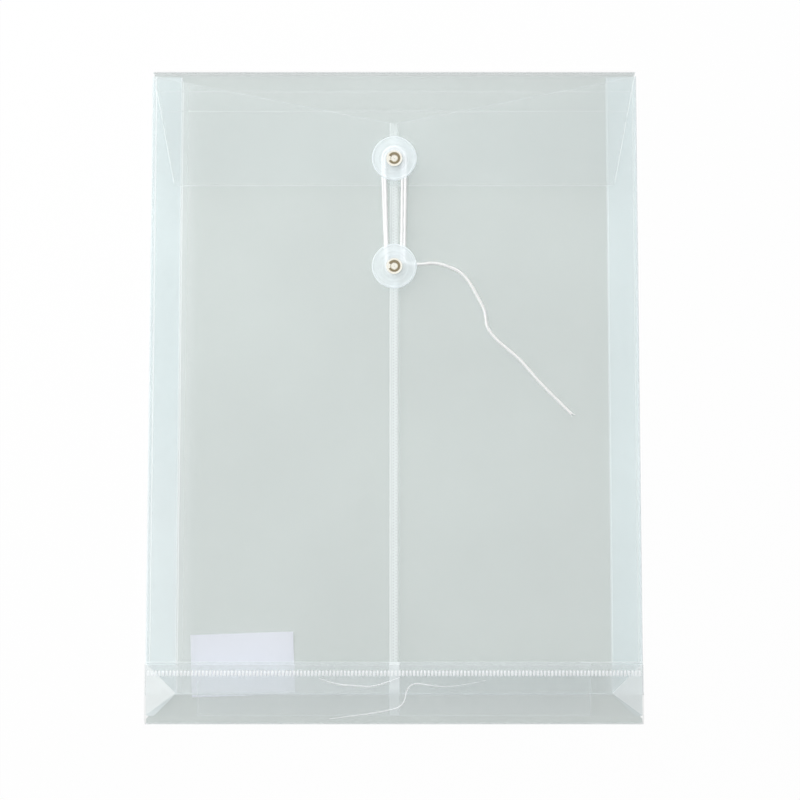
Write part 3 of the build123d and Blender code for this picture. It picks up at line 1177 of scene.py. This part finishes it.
eyelet("eyelet_upper", upper_button.y, flap_low.z, "flap", "upper_eyelet")
eyelet("eyelet_lower", lower_button.y, front_low.z, "front", "lower_eyelet")


# Washers, moulded from milky plastic with a short boss under them that keeps room for the
# string, a raised rim and faint turning rings. Each spins on its eyelet.
upper_washer_low, upper_washer_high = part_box("upper_washer")
lower_washer_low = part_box("lower_washer")[0]
washer_radius = 11 * mm
washer_steps = 72
washer_bore = barrel_radius + 0.08 * mm
boss_radius = washer_bore + 0.5 * mm
rim_top = upper_washer_high.z
web_top = rim_top - 0.25 * mm
web_under = web_top - 0.9 * mm
ring_radii = (5.6 * mm, 7.4 * mm)
ring_half = 0.45 * mm
ring_rise = 0.1 * mm
white_rim = 0.3 * mm
milk, tree, shader = new_finish("milky_plastic")
swirl = spread(tree, mottle(tree, 160), 0, 1, 0.3, 0.7)
milk_tone = two_tones(tree, swirl, (0.89, 0.955, 0.99), (0.92, 0.98, 1.0))
tree.links.new(milk_tone, shader.inputs["Base Color"])
milkiness = spread(tree, mottle(tree, 220), 0.32, 0.38)
rim_milkiness = spread(tree, marked_line(tree), 0, 0.8)
milkiness = math_node(tree, "MAXIMUM", milkiness, rim_milkiness)
milkiness = math_node(tree, "MULTIPLY", milkiness, stopped_light(tree, 0.1))
tree.links.new(milkiness, shader.inputs["Alpha"])
tree.links.new(spread(tree, mottle(tree, 300), 0.22, 0.34), shader.inputs["Roughness"])


def washer(name, y, boss_low, body, node):
    """One washer, with its boss underneath."""
    outline = [(washer_bore, web_top)]
    for radius in ring_radii:
        outline += [
            (radius - ring_half, web_top),
            (radius - 0.4 * ring_half, web_top + ring_rise),
            (radius + 0.4 * ring_half, web_top + ring_rise),
            (radius + ring_half, web_top),
        ]
    outline += [
        (washer_radius - 1.15 * mm, web_top),
        (washer_radius - 0.9 * mm, rim_top),
        (washer_radius - 0.25 * mm, rim_top),
        (washer_radius - 0.06 * mm, rim_top - 0.08 * mm),
        (washer_radius, rim_top - 0.25 * mm),
        (washer_radius, web_under + 0.2 * mm),
        (washer_radius - 0.2 * mm, web_under),
        (washer_radius - 0.9 * mm, web_under),
        (boss_radius, web_under),
        (boss_radius, boss_low),
        (washer_bore, boss_low),
    ]
    piece = lathe(name, outline, y, washer_steps)

    def rim(co):
        return 1.0 if math.hypot(co.x, co.y - y) > washer_radius - white_rim else 0.0

    mark_lines(piece, rim)
    put_on(piece, milk, "washer_plastic", body, node)


washer("washer_upper", upper_button.y, upper_washer_low.z, "upper_button", "upper_washer")
washer("washer_lower", lower_button.y, lower_washer_low.z, "lower_button", "lower_washer")


# String, white cotton of three twisted strands. It is knotted at the lower button, wound twice
# round both, and its loose end lies on the front in lazy bends.
string_diameter = 1.15 * mm
strand_count = 3
strand_radius = 0.52 * mm
strand_offset = 0.26 * mm
twist_pitch = 3.4 * mm
twist_steps = 12
string_clear = 0.25 * mm
string_level = web_under - string_clear - string_diameter / 2
rest_level = front_high.z + string_clear + string_diameter / 2
tail_start = Vector((11.205 * mm, lower_button.y + 1.2 * mm, string_level))
tail_reach = 75.2 * mm
tail_route_shares = [
    (0.045, 0.000),
    (0.104, 0.011),
    (0.189, -0.005),
    (0.286, -0.048),
    (0.344, -0.116),
    (0.396, -0.214),
    (0.441, -0.298),
    (0.448, -0.350),
    (0.455, -0.415),
    (0.513, -0.492),
    (0.584, -0.551),
    (0.669, -0.622),
    (0.734, -0.701),
    (0.811, -0.789),
    (0.908, -0.886),
    (1.000, -0.979),
]
tail_lift_shares = [1.0, 0.45]


def smooth_line(points):
    """Points along the smooth spline that a route's points steer."""
    curve = round_curve("route", 0, 0)
    add_smooth(curve, points, [1] * len(points), 16)
    route = bpy.data.objects.new("route", curve)
    scene.collection.objects.link(route)
    mesh = bpy.data.meshes.new_from_object(route)
    line = [vertex.co.copy() for vertex in mesh.vertices]
    bpy.data.objects.remove(route)
    bpy.data.meshes.remove(mesh)
    return line


def evenly(line, spacing):
    """The same line with its points a set distance apart."""
    out = [line[0]]
    carried = 0.0
    for before, after in zip(line, line[1:]):
        length = (after - before).length
        at = spacing - carried
        while at <= length:
            out.append(before.lerp(after, at / length))
            at += spacing
        carried = length - (at - spacing)
    if (out[-1] - line[-1]).length > 0.3 * spacing:
        out.append(line[-1])
    return out


def twisted(name, line):
    """Strands twisted round a line, as one mesh."""
    spaced = evenly(line, twist_pitch / twist_steps)
    curve = round_curve(name, strand_radius, 1)
    for strand in range(strand_count):
        places = []
        for i, point in enumerate(spaced):
            after = spaced[min(i + 1, len(spaced) - 1)]
            before = spaced[max(i - 1, 0)]
            along = (after - before).normalized()
            across = along.cross(Vector((0, 0, 1))).normalized()
            upward = across.cross(along)
            turn = 2 * math.pi * (i / twist_steps + strand / strand_count)
            offset = math.cos(turn) * across + math.sin(turn) * upward
            places.append(point + strand_offset * offset)
        add_straight(curve, places)
    return made_mesh(name, curve)


cotton, tree, shader = new_finish("white_cotton")
lint = spread(tree, mottle(tree, 1800, 4), 0, 1, 0.3, 0.7)
cotton_tone = two_tones(tree, lint, (0.96, 0.965, 0.97), (1.0, 1.0, 1.0))
tree.links.new(cotton_tone, shader.inputs["Base Color"])
shader.inputs["Roughness"].default_value = 0.9
shader.inputs["Sheen Weight"].default_value = 1.0
shader.inputs["Sheen Roughness"].default_value = 0.5
tree.links.new(stopped_light(tree, 0.15), shader.inputs["Alpha"])
roughen(tree, shader, mottle(tree, 6000, 2), 0.15, 0.05 * mm)

# The winding, point by point: the second turn passes under the first at the lower button, and
# both are kept up where they cross the flap's edge.
under_level = right_high.z + 0.12 * mm + string_diameter / 2
half_turns = [
    (lower_button.y, 0, 3.30 * mm, 3.20 * mm, string_level),
    (upper_button.y, 180, 4.65 * mm, 4.15 * mm, string_level),
    (lower_button.y, 0, 3.50 * mm, 4.00 * mm, under_level),
    (upper_button.y, 180, 5.95 * mm, 5.80 * mm, string_level),
]
points_per_half = 7
before_edge = flap_low.y - 4 * mm
way_out = ((5.10 * mm, 7.5 * mm), (5.05 * mm, 2.2 * mm), (7.8 * mm, 1.2 * mm))
winding_points = [Vector((3.30 * mm, lower_button.y + 1.15 * mm, string_level))]
for y, first_angle, first_radius, last_radius, level in half_turns:
    if len(winding_points) > 1:
        before = winding_points[-1]
        part_way = (before_edge - before.y) / (y - before.y)
        side_x = first_radius if first_angle == 0 else -first_radius
        edge_x = before.x + part_way * (side_x - before.x)
        winding_points.append(Vector((edge_x, before_edge, string_level)))
    for i in range(points_per_half):
        part_way = i / (points_per_half - 1)
        turn = math.radians(first_angle - 180 * part_way)
        radius = first_radius + part_way * (last_radius - first_radius)
        if 0 < i < points_per_half - 1:
            radius /= math.cos(math.radians(90 / (points_per_half - 1)))
        place = (radius * math.cos(turn), y + radius * math.sin(turn), level)
        winding_points.append(Vector(place))
for x, rise in way_out:
    winding_points.append(Vector((x, lower_button.y + rise, string_level)))
winding_points.append(tail_start)
string_winding = twisted("string_winding", smooth_line(winding_points))
put_on(string_winding, cotton, "string_cotton", "front", "string_loops")

tail_points = [tail_start]
for i, (across, along) in enumerate(tail_route_shares):
    lift = tail_lift_shares[i] if i < len(tail_lift_shares) else 0
    level = rest_level + lift * (string_level - rest_level)
    place = (tail_start.x + across * tail_reach, tail_start.y + along * tail_reach, level)
    tail_points.append(Vector(place))
tail_line = smooth_line(tail_points)
string_tail = twisted("string_loose_end", tail_line)
put_on(string_tail, cotton, "string_cotton", "front", "string_tail")

# The frayed end: fibres of uneven length that fan out from the last of the tail.
fray_length = 2.2 * mm
fray_spread = 0.9 * mm
fray_root = 0.5 * mm
fibre_half = 0.07 * mm
fibre_count = 9
fibre_widths = (1, 1, 0.3)
tail_end = tail_line[-1]
tail_heading = (tail_end - tail_line[-3]).normalized()
tail_side = tail_heading.cross(Vector((0, 0, 1)))
fibres = round_curve("string_fray", fibre_half, 1)
for i in range(fibre_count):
    across = 2 * i / (fibre_count - 1) - 1
    reach = fray_length * (0.6 + 0.4 * math.cos(7 * i))
    root = tail_end - fray_root * tail_heading + 0.35 * across * string_diameter * tail_side
    bend = root + 0.6 * reach * tail_heading + 0.3 * across * fray_spread * tail_side
    tip = root + reach * tail_heading + across * fray_spread * tail_side
    bend.z += 0.2 * mm * math.sin(5 * i)
    tip.z -= 0.3 * mm * (0.5 + 0.5 * math.sin(3 * i))
    add_smooth(fibres, (root, bend, tip), fibre_widths, 6)
string_fray = made_mesh("string_fray", fibres)
put_on(string_fray, cotton, "string_cotton", "front")

# The knot at the lower button: one strand that goes over and under itself three times.
knot_low, knot_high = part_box("string_knot")
knot_middle = (knot_low + knot_high) / 2
knot_size = 0.24 * mm
knot_steps = 36
knot_points = []
for i in range(knot_steps):
    turn = 2 * math.pi * i / knot_steps
    bow = (
        math.sin(turn) + 2 * math.sin(2 * turn),
        math.cos(turn) - 2 * math.cos(2 * turn),
        -math.sin(3 * turn),
    )
    knot_points.append(knot_middle + knot_size * Vector(bow))
knot_curve = round_curve("string_knot", strand_radius, 2)
add_straight(knot_curve, knot_points, closed=True)
string_knot = made_mesh("string_knot_tied", knot_curve)
put_on(string_knot, cotton, "string_cotton", "front", "string_knot")
